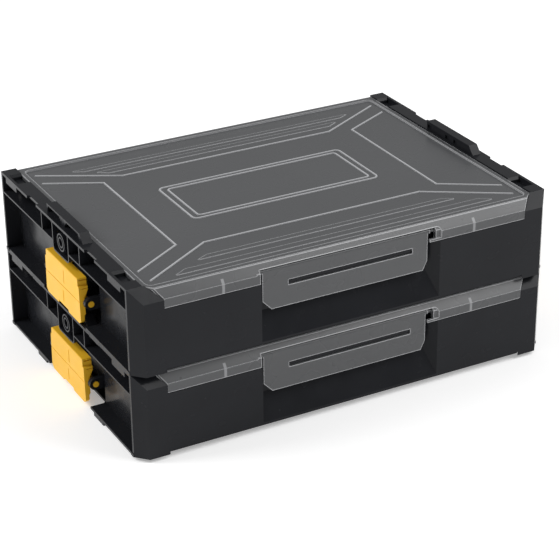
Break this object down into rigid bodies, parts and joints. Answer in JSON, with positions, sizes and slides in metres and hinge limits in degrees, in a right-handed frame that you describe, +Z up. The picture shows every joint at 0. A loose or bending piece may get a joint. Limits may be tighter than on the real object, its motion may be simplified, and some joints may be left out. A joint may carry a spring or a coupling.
{
  "type": "stacked organiser tool box",
  "caption": "Stack of two flat organiser cases: black trays, smoky clear lids, clear front flap latches and yellow side latches.",
  "frame": {"origin": "centre of the footprint at floor level, under the feet", "axes": "+X along the width to the right-hand end, +Y from front panel to hinges, +Z up"},
  "size_m": [0.4412, 0.312, 0.18],
  "materials": {
    "black_plastic": "fine satin texture",
    "smoky_clear": "glossy smoky clear",
    "yellow_plastic": "satin",
    "pin_steel": "plain",
    "divider_plastic": "satin"
  },
  "bodies": {
    "cases": {"lower_tray": "black_plastic", "lower_lid": "smoky_clear", "lower_hinge_pins": "pin_steel", "upper_tray": "black_plastic", "upper_hinge_pins": "pin_steel", "lower_long_divider_front": "divider_plastic", "lower_long_divider_back": "divider_plastic", "lower_cross_divider_front_left": "divider_plastic", "lower_cross_divider_front_right": "divider_plastic", "lower_cross_divider_back_left": "divider_plastic", "lower_cross_divider_back_right": "divider_plastic", "upper_long_divider_front": "divider_plastic", "upper_long_divider_back": "divider_plastic", "upper_cross_divider_front_left": "divider_plastic", "upper_cross_divider_front_right": "divider_plastic", "upper_cross_divider_back_left": "divider_plastic", "upper_cross_divider_back_right": "divider_plastic"},
    "upper_lid_body": {"upper_lid": "smoky_clear"},
    "upper_front_latch_body": {"upper_front_latch": "smoky_clear"},
    "lower_front_latch_body": {"lower_front_latch": "smoky_clear"},
    "lower_left_latch_body": {"lower_left_latch": "yellow_plastic"},
    "lower_right_latch_body": {"lower_right_latch": "yellow_plastic"},
    "upper_left_latch_body": {"upper_left_latch": "yellow_plastic"},
    "upper_right_latch_body": {"upper_right_latch": "yellow_plastic"}
  },
  "joints": [
    {"name": "upper_lid_hinge", "type": "hinge", "parent": "cases", "child": "upper_lid_body", "pos_m": [0, 0.1512, 0.1644], "axis": [-1, 0, 0], "range_deg": [0, 100]},
    {"name": "upper_front_latch_hinge", "type": "hinge", "parent": "upper_lid_body", "child": "upper_front_latch_body", "pos_m": [0, -0.15045, 0.1614], "axis": [-1, 0, 0], "range_deg": [0, 75]},
    {"name": "lower_front_latch_hinge", "type": "hinge", "parent": "cases", "child": "lower_front_latch_body", "pos_m": [0, -0.15045, 0.077], "axis": [-1, 0, 0], "range_deg": [0, 75]},
    {"name": "upper_left_latch_hinge", "type": "hinge", "parent": "cases", "child": "upper_left_latch_body", "pos_m": [-0.2125, 0.0063, 0.1113], "axis": [0, 1, 0], "range_deg": [0, 35]},
    {"name": "upper_right_latch_hinge", "type": "hinge", "parent": "cases", "child": "upper_right_latch_body", "pos_m": [0.2125, 0.0063, 0.1113], "axis": [0, -1, 0], "range_deg": [0, 35]},
    {"name": "lower_left_latch_hinge", "type": "hinge", "parent": "cases", "child": "lower_left_latch_body", "pos_m": [-0.2125, 0.0063, 0.0269], "axis": [0, 1, 0], "range_deg": [0, 35]},
    {"name": "lower_right_latch_hinge", "type": "hinge", "parent": "cases", "child": "lower_right_latch_body", "pos_m": [0.2125, 0.0063, 0.0269], "axis": [0, -1, 0], "range_deg": [0, 35]}
  ]
}
